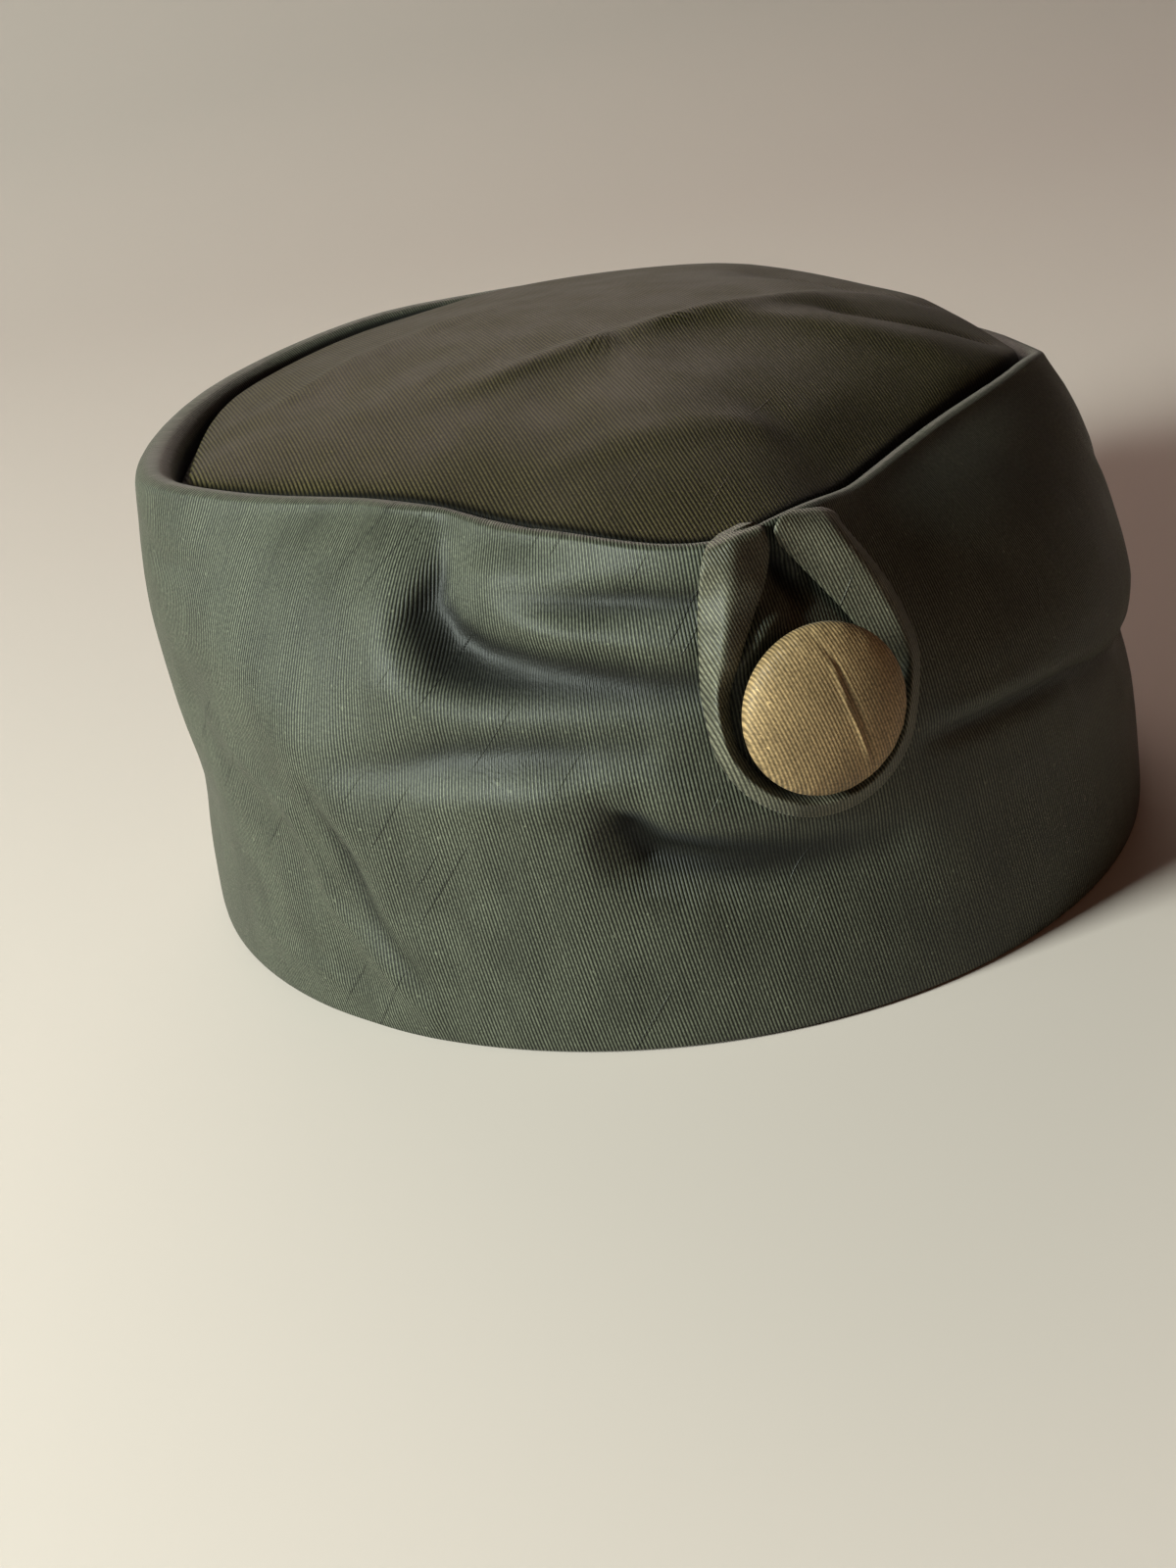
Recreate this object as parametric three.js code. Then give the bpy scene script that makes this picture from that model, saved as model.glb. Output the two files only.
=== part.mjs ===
// A draped hat of the pillbox family, cut in stiff olive satin twill.
// A deep side band flares to an open hem, and a soft four-cornered crown tip is set into its rim.
// A padded loop comes out of the seam at the front corner and rings a covered button.
// Millimetres, +Z up, the face side towards -Y, the wearer's left towards +X, the hem on Z = 0.

import * as THREE from 'three';

// Side band
const HEM_WIDTH = 235;
const HEM_LENGTH = 237;
const BAND_HEIGHT = 107;
const CLOTH = 1.8;
const HEM_THICK = 2.8;
const HEM_TURN = 13;

// Seam where the crown tip is let in, measured from the middle of the hem
const TIP_LEFT = 107;
const TIP_RIGHT = 99;
const TIP_FRONT = 106;
const TIP_BACK = 106;
const TIP_TURN = -7;
const CORNER_SOFTNESS = 0.21;
const ROLL_FULL = 8;
const ROLL_LEAST = 1;
const SEAM_DEPTH = 5;

// Crown tip
const DOME_RISE = 19;
const PUFF = 4;

// Loop and button
const BUTTON_WIDTH = 35;
const BUTTON_DOME = 6.5;
const BUTTON_EDGE = 2.6;
const BUTTON_LIFT = 3.6;
const BUTTON_ASIDE = -0.5;
const SHANK_WIDTH = 8;
const LOOP_DROP = 33;
const LOOP_THICK = 4.4;
const LOOP_DEEP = 7.5;
const LOOP_WIDE = 15;
const LOOP_FLAT = 3.0;
const LOOP_CLEAR = 0.5;

// Air left between two pieces that touch
const GAP = 0.3;

// Mesh steps
const FRONT_FROM = -104;
const FRONT_TO = 72;
const FRONT_STATIONS = 60;
const BACK_STATIONS = 32;
const WALL_ROWS = 15;
const DOME_ROWS = 6;
const LOOP_STATIONS = 48;
const LOOP_SIDES = 10;

// The band from hem to rim. rise: share of the wall's height.
// lean: share of the way from the hem's outline to the rim's. swell: outward bow, share of the height.
const BAND_PROFILE = [
  { rise: 0.00, lean: 0.00, swell: 0.000 },
  { rise: 0.16, lean: 0.00, swell: -0.004 },
  { rise: 0.34, lean: 0.03, swell: -0.006 },
  { rise: 0.48, lean: 0.06, swell: 0.002 },
  { rise: 0.60, lean: 0.14, swell: 0.008 },
  { rise: 0.72, lean: 0.28, swell: 0.010 },
  { rise: 0.84, lean: 0.50, swell: 0.008 },
  { rise: 0.93, lean: 0.74, swell: 0.004 },
  { rise: 1.00, lean: 1.00, swell: 0.000 },
];

// The rim, by the turn in degrees from the front towards the wearer's left.
// seam: height, share of BAND_HEIGHT. roll: fullness of the rim, share of ROLL_FULL.
// gape: how far the tip is drawn away from the rim, share of ROLL_FULL. puff: share of PUFF.
const RIM_LINE = [
  { turn: -180, seam: 1.030, roll: 0.28, gape: 0.00, puff: 1.3 },
  { turn: -160, seam: 1.042, roll: 0.36, gape: 0.00, puff: 0.6 },
  { turn: -132, seam: 1.030, roll: 0.42, gape: 0.10, puff: 0.6 },
  { turn: -104, seam: 1.002, roll: 0.66, gape: 0.40, puff: 1.0 },
  { turn: -80, seam: 1.012, roll: 0.36, gape: 0.10, puff: 0.9 },
  { turn: -52, seam: 1.035, roll: 0.08, gape: 0.00, puff: 0.8 },
  { turn: -26, seam: 1.012, roll: 0.08, gape: 0.00, puff: 0.8 },
  { turn: -8, seam: 0.996, roll: 0.12, gape: 0.00, puff: 0.6 },
  { turn: 2, seam: 1.006, roll: 0.12, gape: 0.00, puff: 0.6 },
  { turn: 16, seam: 0.976, roll: 0.08, gape: 0.00, puff: 0.8 },
  { turn: 42, seam: 0.978, roll: 0.06, gape: 0.00, puff: 0.9 },
  { turn: 70, seam: 0.974, roll: 0.10, gape: 0.00, puff: 1.2 },
  { turn: 88, seam: 0.922, roll: 0.22, gape: 0.12, puff: 2.0 },
  { turn: 112, seam: 0.915, roll: 0.20, gape: 0.00, puff: 3.0 },
  { turn: 150, seam: 0.985, roll: 0.20, gape: 0.00, puff: 2.5 },
];

// Dents and folds of the band. Each fold is a line through its rows' places on the wall.
// rise: share of the height. spread and depth: shares of BAND_HEIGHT, a depth above 0 stands out.
const BAND_FOLDS = [
  // The upper dent: it hooks round at the wearer's right and runs off to the loop
  { fold: 'upper dent', turn: -43, rise: 0.96, spread: 0.070, depth: -0.024 },
  { fold: 'upper dent', turn: -41, rise: 0.90, spread: 0.075, depth: -0.052 },
  { fold: 'upper dent', turn: -37, rise: 0.83, spread: 0.080, depth: -0.050 },
  { fold: 'upper dent', turn: -31, rise: 0.80, spread: 0.075, depth: -0.036 },
  { fold: 'upper dent', turn: -22, rise: 0.79, spread: 0.070, depth: -0.022 },
  { fold: 'upper dent', turn: -14, rise: 0.79, spread: 0.070, depth: -0.006 },
  { fold: 'upper lip', turn: -52, rise: 0.96, spread: 0.080, depth: 0.010 },
  { fold: 'upper lip', turn: -48, rise: 0.86, spread: 0.080, depth: 0.016 },
  { fold: 'upper lip', turn: -45, rise: 0.76, spread: 0.080, depth: 0.012 },
  { fold: 'upper panel', turn: -34, rise: 0.95, spread: 0.060, depth: 0.010 },
  { fold: 'upper panel', turn: -27, rise: 0.91, spread: 0.060, depth: 0.014 },
  { fold: 'upper shelf', turn: -27, rise: 0.93, spread: 0.060, depth: -0.008 },
  { fold: 'upper shelf', turn: -19, rise: 0.89, spread: 0.060, depth: -0.014 },
  { fold: 'upper shelf', turn: -10, rise: 0.88, spread: 0.060, depth: -0.012 },
  { fold: 'upper ridge', turn: -26, rise: 0.85, spread: 0.055, depth: 0.010 },
  { fold: 'upper ridge', turn: -10, rise: 0.84, spread: 0.055, depth: 0.008 },
  // The lower dent: it runs off under the loop
  { fold: 'lower dent', turn: -21, rise: 0.49, spread: 0.065, depth: -0.030 },
  { fold: 'lower dent', turn: -20, rise: 0.43, spread: 0.070, depth: -0.048 },
  { fold: 'lower dent', turn: -15, rise: 0.39, spread: 0.075, depth: -0.046 },
  { fold: 'lower dent', turn: -8, rise: 0.34, spread: 0.080, depth: -0.036 },
  { fold: 'lower dent', turn: 0, rise: 0.30, spread: 0.085, depth: -0.022 },
  { fold: 'lower dent', turn: 8, rise: 0.27, spread: 0.090, depth: -0.006 },
  { fold: 'lower ridge', turn: -20, rise: 0.56, spread: 0.060, depth: 0.018 },
  { fold: 'lower ridge', turn: -13, rise: 0.49, spread: 0.060, depth: 0.026 },
  { fold: 'lower ridge', turn: -5, rise: 0.43, spread: 0.065, depth: 0.020 },
  { fold: 'lower ridge', turn: 3, rise: 0.39, spread: 0.070, depth: 0.008 },
  { fold: 'lower shoulder', turn: -28, rise: 0.54, spread: 0.075, depth: 0.010 },
  { fold: 'lower shoulder', turn: -26, rise: 0.34, spread: 0.075, depth: 0.010 },
  // The crease from the loop to the wearer's left, then round the waist
  { fold: 'loop crease', turn: 12, rise: 0.52, spread: 0.060, depth: -0.008 },
  { fold: 'loop crease', turn: 30, rise: 0.51, spread: 0.055, depth: -0.020 },
  { fold: 'loop crease', turn: 48, rise: 0.45, spread: 0.055, depth: -0.024 },
  { fold: 'loop crease', turn: 62, rise: 0.40, spread: 0.055, depth: -0.028 },
  { fold: 'loop crease', turn: 85, rise: 0.38, spread: 0.070, depth: -0.020 },
  { fold: 'loop crease', turn: 112, rise: 0.36, spread: 0.080, depth: -0.004 },
  { fold: 'crease ridge', turn: 20, rise: 0.63, spread: 0.090, depth: 0.008 },
  { fold: 'crease ridge', turn: 60, rise: 0.54, spread: 0.090, depth: 0.014 },
  { fold: 'crease ridge', turn: 90, rise: 0.50, spread: 0.100, depth: 0.006 },
  // Folds slanting down the wearer's right
  { fold: 'slant ridge', turn: -78, rise: 0.80, spread: 0.080, depth: 0.006 },
  { fold: 'slant ridge', turn: -66, rise: 0.69, spread: 0.075, depth: 0.014 },
  { fold: 'slant ridge', turn: -57, rise: 0.57, spread: 0.070, depth: 0.016 },
  { fold: 'slant ridge', turn: -50, rise: 0.40, spread: 0.070, depth: 0.014 },
  { fold: 'slant ridge', turn: -46, rise: 0.14, spread: 0.080, depth: 0.010 },
  { fold: 'slant valley', turn: -82, rise: 0.60, spread: 0.070, depth: -0.018 },
  { fold: 'slant valley', turn: -67, rise: 0.46, spread: 0.070, depth: -0.020 },
  { fold: 'slant valley', turn: -58, rise: 0.28, spread: 0.070, depth: -0.018 },
  { fold: 'slant valley', turn: -54, rise: 0.10, spread: 0.080, depth: -0.010 },
  { fold: 'waist', turn: -130, rise: 0.33, spread: 0.120, depth: -0.006 },
  { fold: 'waist', turn: -108, rise: 0.33, spread: 0.120, depth: -0.014 },
  { fold: 'waist', turn: -88, rise: 0.33, spread: 0.120, depth: -0.016 },
  { fold: 'side bulge', turn: -112, rise: 0.76, spread: 0.160, depth: 0.008 },
  { fold: 'side bulge', turn: -86, rise: 0.76, spread: 0.160, depth: 0.012 },
  { fold: 'soft valley', turn: -50, rise: 0.64, spread: 0.065, depth: -0.008 },
  { fold: 'soft valley', turn: -34, rise: 0.66, spread: 0.060, depth: -0.014 },
  { fold: 'soft valley', turn: -20, rise: 0.67, spread: 0.060, depth: -0.008 },
  // The hollow between the loop's strands, and the cloth pushed up beside the button
  { fold: 'hollow', turn: -1, rise: 0.98, spread: 0.060, depth: -0.022 },
  { fold: 'hollow', turn: 0, rise: 0.91, spread: 0.065, depth: -0.044 },
  { fold: 'pushed up', turn: -7, rise: 0.77, spread: 0.050, depth: 0.010 },
  { fold: 'pushed up', turn: -3, rise: 0.82, spread: 0.055, depth: 0.014 },
  { fold: 'pushed up', turn: 1, rise: 0.84, spread: 0.050, depth: 0.008 },
  // Soft folds of the back
  { fold: 'back left', turn: 128, rise: 0.70, spread: 0.100, depth: -0.018 },
  { fold: 'back left', turn: 150, rise: 0.42, spread: 0.100, depth: -0.008 },
  { fold: 'back low', turn: 178, rise: 0.30, spread: 0.100, depth: -0.016 },
  { fold: 'back low', turn: 204, rise: 0.44, spread: 0.100, depth: -0.012 },
  { fold: 'back high', turn: 210, rise: 0.82, spread: 0.100, depth: -0.014 },
  { fold: 'back high', turn: 222, rise: 0.60, spread: 0.100, depth: -0.010 },
];

// Soft ridges and hollows of the tip, as above. forward: share of TIP_FRONT from the middle.
// aside: share of TIP_LEFT. spread: share of TIP_FRONT. depth: share of DOME_RISE.
const TIP_FOLDS = [
  { fold: 'left ridge', forward: -0.26, aside: -0.68, spread: 0.070, depth: 0.090 },
  { fold: 'left ridge', forward: -0.52, aside: -0.16, spread: 0.070, depth: 0.070 },
  { fold: 'left hollow', forward: -0.06, aside: -0.70, spread: 0.080, depth: -0.050 },
  { fold: 'left hollow', forward: -0.34, aside: -0.20, spread: 0.080, depth: -0.050 },
  { fold: 'middle ridge', forward: 0.11, aside: -0.37, spread: 0.070, depth: 0.050 },
  { fold: 'middle ridge', forward: 0.09, aside: -0.04, spread: 0.060, depth: 0.060 },
  { fold: 'middle ridge', forward: 0.00, aside: 0.30, spread: 0.060, depth: 0.070 },
  { fold: 'middle ridge', forward: -0.10, aside: 0.55, spread: 0.060, depth: 0.070 },
  { fold: 'lit patch', forward: 0.22, aside: -0.68, spread: 0.120, depth: 0.060 },
  { fold: 'lit patch', forward: 0.46, aside: -0.34, spread: 0.120, depth: 0.040 },
  { fold: 'front hollow', forward: 0.30, aside: -0.20, spread: 0.090, depth: -0.060 },
  { fold: 'front hollow', forward: 0.20, aside: 0.22, spread: 0.090, depth: -0.050 },
  { fold: 'first valley', forward: -0.56, aside: 0.56, spread: 0.050, depth: -0.100 },
  { fold: 'first valley', forward: -0.13, aside: 0.82, spread: 0.050, depth: -0.150 },
  { fold: 'right ridge', forward: -0.34, aside: 0.46, spread: 0.050, depth: 0.080 },
  { fold: 'right ridge', forward: -0.04, aside: 0.82, spread: 0.050, depth: 0.080 },
  { fold: 'second valley', forward: 0.00, aside: 0.50, spread: 0.050, depth: -0.080 },
  { fold: 'second valley', forward: 0.15, aside: 0.86, spread: 0.050, depth: -0.150 },
  { fold: 'corner ridge', forward: 0.06, aside: 0.29, spread: 0.060, depth: 0.050 },
  { fold: 'corner ridge', forward: 0.28, aside: 0.66, spread: 0.060, depth: 0.080 },
  { fold: 'front ridge', forward: 0.57, aside: 0.24, spread: 0.070, depth: 0.050 },
  { fold: 'front ridge', forward: 0.38, aside: 0.62, spread: 0.070, depth: 0.050 },
];

// The loop's middle line from the left strand's top, round the button, to the right strand's top.
// across: share of the ring's radius. up: share of LOOP_DROP above the button's middle, and of the
// ring's radius below it. flat: 0 where the strip stands on edge, 1 where it lies flat on the band.
const LOOP_PATH = [
  { across: -0.50, up: 1.02, flat: 0.94 },
  { across: -0.66, up: 0.84, flat: 0.95 },
  { across: -0.82, up: 0.56, flat: 0.70 },
  { across: -0.97, up: 0.25, flat: 0.40 },
  { across: -1.01, up: -0.05, flat: 0.15 },
  { across: -0.90, up: -0.51, flat: 0.08 },
  { across: -0.61, up: -0.84, flat: 0.04 },
  { across: -0.20, up: -1.00, flat: 0.00 },
  { across: 0.26, up: -0.98, flat: 0.00 },
  { across: 0.65, up: -0.78, flat: 0.00 },
  { across: 0.94, up: -0.42, flat: 0.00 },
  { across: 1.03, up: -0.02, flat: 0.05 },
  { across: 0.94, up: 0.27, flat: 0.50 },
  { across: 0.70, up: 0.55, flat: 0.88 },
  { across: 0.42, up: 0.80, flat: 1.06 },
  { across: 0.26, up: 0.97, flat: 1.04 },
  { across: 0.23, up: 1.03, flat: 0.98 },
];

const RADIANS = Math.PI / 180;
const TURNS = [
  ...spread(FRONT_FROM, FRONT_TO, FRONT_STATIONS),
  ...spread(FRONT_TO, FRONT_FROM + 360, BACK_STATIONS),
];
const BAND_LINES = foldLines(BAND_FOLDS);
const TIP_LINES = foldLines(TIP_FOLDS);
const ROLL_GIRTH = 1.45;
const RING_RADIUS = BUTTON_WIDTH / 2 + LOOP_CLEAR + LOOP_THICK / 2;

// Evenly spaced values from one number up to, and without, another.
function spread(from, to, count) {
  return Array.from({ length: count }, (_, i) => from + ((to - from) * i) / count);
}

function mix(a, b, share) {
  return a + (b - a) * share;
}

// A column of a table at a key between its rows, eased from row to row.
function lookUp(table, key, column, at) {
  if (at <= table[0][key]) return table[0][column];
  for (let i = 1; i < table.length; i++) {
    const low = table[i - 1];
    const high = table[i];
    if (at > high[key]) continue;
    const share = (at - low[key]) / (high[key] - low[key]);
    return mix(low[column], high[column], share * share * (3 - 2 * share));
  }
  return table[table.length - 1][column];
}

// The same turn as an angle from -180 up to 180.
function wrapped(turn) {
  return ((((turn + 180) % 360) + 360) % 360) - 180;
}

// The same for a table that closes on itself after a full turn.
function lookAround(table, column, turn) {
  const closed = [...table, { ...table[0], turn: table[0].turn + 360 }];
  return lookUp(closed, 'turn', column, wrapped(turn));
}

// A smooth cubic through a profile's rows, so that the wall has no flats at them.
function profileAt(column, rise) {
  const rows = BAND_PROFILE;
  let i = 1;
  while (i < rows.length - 1 && rise > rows[i].rise) i++;
  const before = rows[Math.max(i - 2, 0)];
  const low = rows[i - 1];
  const high = rows[i];
  const after = rows[Math.min(i + 1, rows.length - 1)];
  const step = high.rise - low.rise;
  const slopeLow = (high[column] - before[column]) / (high.rise - before.rise);
  const slopeHigh = (after[column] - low[column]) / (after.rise - low.rise);
  const t = (rise - low.rise) / step;
  const t2 = t * t;
  const t3 = t2 * t;
  return (2 * t3 - 3 * t2 + 1) * low[column] + (t3 - 2 * t2 + t) * step * slopeLow
    + (3 * t2 - 2 * t3) * high[column] + (t3 - t2) * step * slopeHigh;
}

// A table's rows gathered into its folds.
function foldLines(table) {
  const lines = new Map();
  for (const row of table) {
    if (!lines.has(row.fold)) lines.set(row.fold, []);
    lines.get(row.fold).push(row);
  }
  return [...lines.values()];
}

// A fold's push at a place: its depth on its line, fading to none at about twice its spread away.
// spot gives a row's place and width in the same flat coordinates.
function pushOf(line, x, y, spot) {
  let nearest = Infinity;
  let push = 0;
  for (let i = 1; i < line.length; i++) {
    const a = spot(line[i - 1]);
    const b = spot(line[i]);
    const dx = b.x - a.x;
    const dy = b.y - a.y;
    const share = ((x - a.x) * dx + (y - a.y) * dy) / (dx * dx + dy * dy);
    const along = Math.min(1, Math.max(0, share));
    const away = Math.hypot(x - a.x - dx * along, y - a.y - dy * along) / mix(a.wide, b.wide, along);
    if (away >= nearest) continue;
    nearest = away;
    push = mix(line[i - 1].depth, line[i].depth, along) * Math.exp(-away * away);
  }
  return push;
}

function hemReach(turn) {
  const a = turn * RADIANS;
  return 1 / Math.hypot(Math.sin(a) / (HEM_WIDTH / 2), Math.cos(a) / (HEM_LENGTH / 2));
}

// The outline of the seam: two nearly straight sides run from the front corner to the side
// corners, as on a square set on its corner, and the back is round.
function seamReach(turn) {
  const s = Math.sin((turn - TIP_TURN) * RADIANS);
  const c = Math.cos((turn - TIP_TURN) * RADIANS);
  const side = s > 0 ? TIP_RIGHT : TIP_LEFT;
  if (c < 0) return 1 / Math.hypot(s / side, c / TIP_BACK);
  return 1 / (softened(s) / side + softened(c) / TIP_FRONT);
}

function softened(value) {
  const e = CORNER_SOFTNESS;
  return (Math.hypot(value, e) - e) / (Math.hypot(1, e) - e);
}

function seamHeight(turn) {
  return BAND_HEIGHT * lookAround(RIM_LINE, 'seam', turn);
}

function rollWidth(turn) {
  return 2 * CLOTH + ROLL_LEAST + ROLL_FULL * lookAround(RIM_LINE, 'roll', turn);
}

function wallTop(turn) {
  return seamHeight(turn) + rollWidth(turn) * 0.12;
}

function foldsAt(turn, rise) {
  const scale = (HEM_WIDTH / 2) * RADIANS;
  let out = 0;
  for (const line of BAND_LINES) {
    const from = line[0].turn;
    const x = (from + wrapped(turn - from)) * scale;
    out += pushOf(line, x, rise * BAND_HEIGHT, (row) => ({
      x: row.turn * scale, y: row.rise * BAND_HEIGHT, wide: row.spread * BAND_HEIGHT }));
  }
  return out * BAND_HEIGHT;
}

// Reach of the outer wall from the upright middle line, before its folds and with them.
function plainReach(turn, rise) {
  const rim = seamReach(turn) + rollWidth(turn);
  return mix(hemReach(turn), rim, profileAt('lean', rise)) + profileAt('swell', rise) * BAND_HEIGHT;
}

function wallReach(turn, rise) {
  return plainReach(turn, rise) + foldsAt(turn, rise);
}

// A point of the wall, a given way inside its outer face.
function wallPoint(turn, rise, inset) {
  return onTurn(turn, wallReach(turn, rise) - inset, rise * wallTop(turn));
}

function onTurn(turn, reach, height) {
  const a = turn * RADIANS;
  return new THREE.Vector3(reach * Math.sin(a), -reach * Math.cos(a), height);
}

// The rim's roll, from the wall's top over the crest and down to the seam.
// sweep: 0 at the wall, 1 at the seam. inset: how far inside the cloth's face.
function rollPoint(turn, sweep, inset) {
  const half = rollWidth(turn) / 2;
  const middle = seamReach(turn) + half + foldsAt(turn, 1) * (1 - sweep);
  const angle = sweep * Math.PI;
  const base = mix(wallTop(turn), seamHeight(turn), (1 - Math.cos(angle)) / 2);
  const crest = half * 0.8 * Math.sin(angle);
  const reach = middle + (half - inset) * Math.cos(angle);
  const height = base + crest - inset * Math.sin(angle);
  return onTurn(turn, reach, height);
}

// The band's section at one turn: up the outside, over the roll to the seam, and down the inside.
function bandSection(turn) {
  const outside = [];
  for (let i = 0; i <= WALL_ROWS; i++) {
    outside.push(wallPoint(turn, i / WALL_ROWS, 0));
  }
  for (const sweep of [0.2, 0.4, 0.6, 0.8]) {
    outside.push(rollPoint(turn, sweep, 0));
  }
  const seam = seamReach(turn);
  const depth = seamHeight(turn) - SEAM_DEPTH;
  outside.push(onTurn(turn, seam, seamHeight(turn)));
  outside.push(onTurn(turn, seam, depth));
  const inside = [onTurn(turn, seam + CLOTH, depth)];
  for (const sweep of [1, 0.5, 0]) {
    inside.push(rollPoint(turn, sweep, CLOTH));
  }
  const hemRow = Math.round((WALL_ROWS * HEM_TURN) / wallTop(turn));
  for (let i = WALL_ROWS - 1; i >= hemRow; i--) {
    inside.push(wallPoint(turn, i / WALL_ROWS, CLOTH));
  }
  inside.push(wallPoint(turn, (hemRow - 0.3) / WALL_ROWS, HEM_THICK));
  inside.push(wallPoint(turn, 0, HEM_THICK));
  return [...outside, ...inside];
}

// Height of the tip's outer face over a place, given its seam height and share of the way in.
function tipHeight(turn, share) {
  const edge = seamHeight(turn) + puffHeight(turn);
  const middle = BAND_HEIGHT + DOME_RISE;
  const reach = tipReach(turn, share);
  const a = turn * RADIANS;
  const forward = reach * Math.cos(a);
  const aside = reach * Math.sin(a);
  let out = 0;
  for (const line of TIP_LINES) {
    out += pushOf(line, forward, aside, (row) => ({
      x: row.forward * TIP_FRONT, y: row.aside * TIP_LEFT, wide: row.spread * TIP_FRONT }));
  }
  const level = BAND_HEIGHT + PUFF;
  return mix(level, middle, 1 - (1 - share) ** 2) + (edge - level) * (1 - share) ** 4 + out * DOME_RISE;
}

// Reach of the tip's face: 0 at its rolled edge, 1 in the middle.
function tipReach(turn, share) {
  return (seamReach(turn) - GAP - drawnIn(turn) - PUFF) * (1 - share);
}

function drawnIn(turn) {
  return ROLL_FULL * lookAround(RIM_LINE, 'gape', turn);
}

function puffHeight(turn) {
  return PUFF * lookAround(RIM_LINE, 'puff', turn);
}

// The tip's section at one turn: out along the underside, up the seam allowance, back in on top.
function tipSection(turn) {
  const seam = seamReach(turn) - GAP;
  const height = seamHeight(turn);
  const edge = seam - drawnIn(turn);
  const section = [];
  for (const share of [0.75, 0.5, 0.25, 0.05]) {
    section.push(onTurn(turn, tipReach(turn, share), tipHeight(turn, share) - CLOTH));
  }
  section.push(onTurn(turn, edge - CLOTH, height - SEAM_DEPTH * 0.3));
  section.push(onTurn(turn, seam - CLOTH, height - SEAM_DEPTH));
  section.push(onTurn(turn, seam, height - SEAM_DEPTH));
  section.push(onTurn(turn, seam, height - SEAM_DEPTH * 0.5));
  section.push(onTurn(turn, edge, height + puffHeight(turn) * 0.1));
  section.push(onTurn(turn, edge - PUFF * 0.2, height + puffHeight(turn) * 0.6));
  for (let i = 0; i < DOME_ROWS; i++) {
    const share = i / DOME_ROWS;
    section.push(onTurn(turn, tipReach(turn, share), tipHeight(turn, share)));
  }
  return section;
}

// A place on the band's outer face by its distance aside of the front and its climb from the hem,
// where a climb past the wall's top goes on over the rim's roll.
function skin(aside, climb, folded) {
  let turn = 0;
  let point = null;
  for (let i = 0; i < 6; i++) {
    const top = wallTop(turn);
    const over = (climb - top) / (rollWidth(turn) * ROLL_GIRTH);
    const fold = folded ? 0 : foldsAt(turn, Math.min(climb / top, 1));
    if (over <= 0) {
      point = onTurn(turn, wallReach(turn, climb / top) - fold, climb);
    } else {
      point = rollPoint(turn, Math.min(over, 1), 0);
    }
    turn = Math.asin(aside / Math.hypot(point.x, point.y)) / RADIANS;
  }
  return point;
}

function skinNormal(aside, climb, step) {
  const right = skin(aside + step, climb, false).sub(skin(aside - step, climb, false));
  const up = skin(aside, climb + step, false).sub(skin(aside, climb - step, false));
  return right.cross(up).normalize();
}

// How far the folded wall stands out past a foot on the plain one, over a strip's width or a disc.
function proudOf(foot, normal, places) {
  return Math.max(0, ...places.map(([aside, climb]) => skin(aside, climb, true).sub(foot).dot(normal)));
}

// The least smooth cover of a list: each value is raised to its neighbours' highest, then averaged.
function smoothCover(values, window) {
  const near = (list, i) => list.slice(Math.max(0, i - window), i + window + 1);
  const raised = values.map((_, i) => Math.max(...near(values, i)));
  return raised.map((_, i) => near(raised, i).reduce((sum, v) => sum + v, 0) / near(raised, i).length);
}

// A closed solid from rows of points. A row is a closed section or runs from pole to pole, and
// the rows go right round the hat, or along a strip with a flat cap at each end.
function solidFromRows(rows, { loop, poles }) {
  const points = [];
  const faces = [];
  const count = rows[0].length;
  for (const row of rows) points.push(...row);
  const at = (i, j) => (i % rows.length) * count + (j % count);
  const spans = loop ? rows.length : rows.length - 1;
  const steps = poles ? count - 1 : count;
  for (let i = 0; i < spans; i++) {
    for (let j = 0; j < steps; j++) {
      faces.push(at(i, j), at(i + 1, j), at(i + 1, j + 1));
      faces.push(at(i, j), at(i + 1, j + 1), at(i, j + 1));
    }
  }
  if (poles) {
    const start = points.push(poles.start) - 1;
    const end = points.push(poles.end) - 1;
    for (let i = 0; i < spans; i++) {
      faces.push(start, at(i + 1, 0), at(i, 0));
      faces.push(end, at(i, count - 1), at(i + 1, count - 1));
    }
  } else if (!loop) {
    const last = rows.length - 1;
    for (let j = 1; j < count - 1; j++) {
      faces.push(at(0, 0), at(0, j), at(0, j + 1));
      faces.push(at(last, 0), at(last, j + 1), at(last, j));
    }
  }
  const geometry = new THREE.BufferGeometry().setFromPoints(points);
  geometry.setIndex(faces);
  geometry.computeVertexNormals();
  return geometry;
}

function fabric(colour, roughness) {
  return new THREE.MeshStandardMaterial({ color: colour, roughness, metalness: 0 });
}

function piece(name, geometry, material) {
  const mesh = new THREE.Mesh(geometry, material);
  mesh.name = name;
  return mesh;
}

const satin = fabric(0x4a4c3e, 0.5);
const satinTip = fabric(0x423f2e, 0.55);
const satinLoop = fabric(0x6b6a55, 0.5);
const bronzeSatin = fabric(0xa08a58, 0.5);

// Side band
function makeBand() {
  const rows = TURNS.map(bandSection);
  return piece('side_band', solidFromRows(rows, { loop: true }), satin);
}

// Crown tip
function makeTip() {
  const rows = TURNS.map(tipSection);
  const top = new THREE.Vector3(0, 0, tipHeight(0, 1));
  const under = new THREE.Vector3(0, 0, tipHeight(0, 1) - CLOTH);
  const solid = solidFromRows(rows, { loop: true, poles: { start: under, end: top } });
  return piece('crown_tip', solid, satinTip);
}

// The button's middle on the wall, and the way it faces
const BUTTON_CLIMB = seamHeight(0) - LOOP_DROP;
const BUTTON_SPOT = skin(BUTTON_ASIDE, BUTTON_CLIMB, false);
const BUTTON_AXIS = skinNormal(BUTTON_ASIDE, BUTTON_CLIMB, BUTTON_WIDTH * 0.4);

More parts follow.
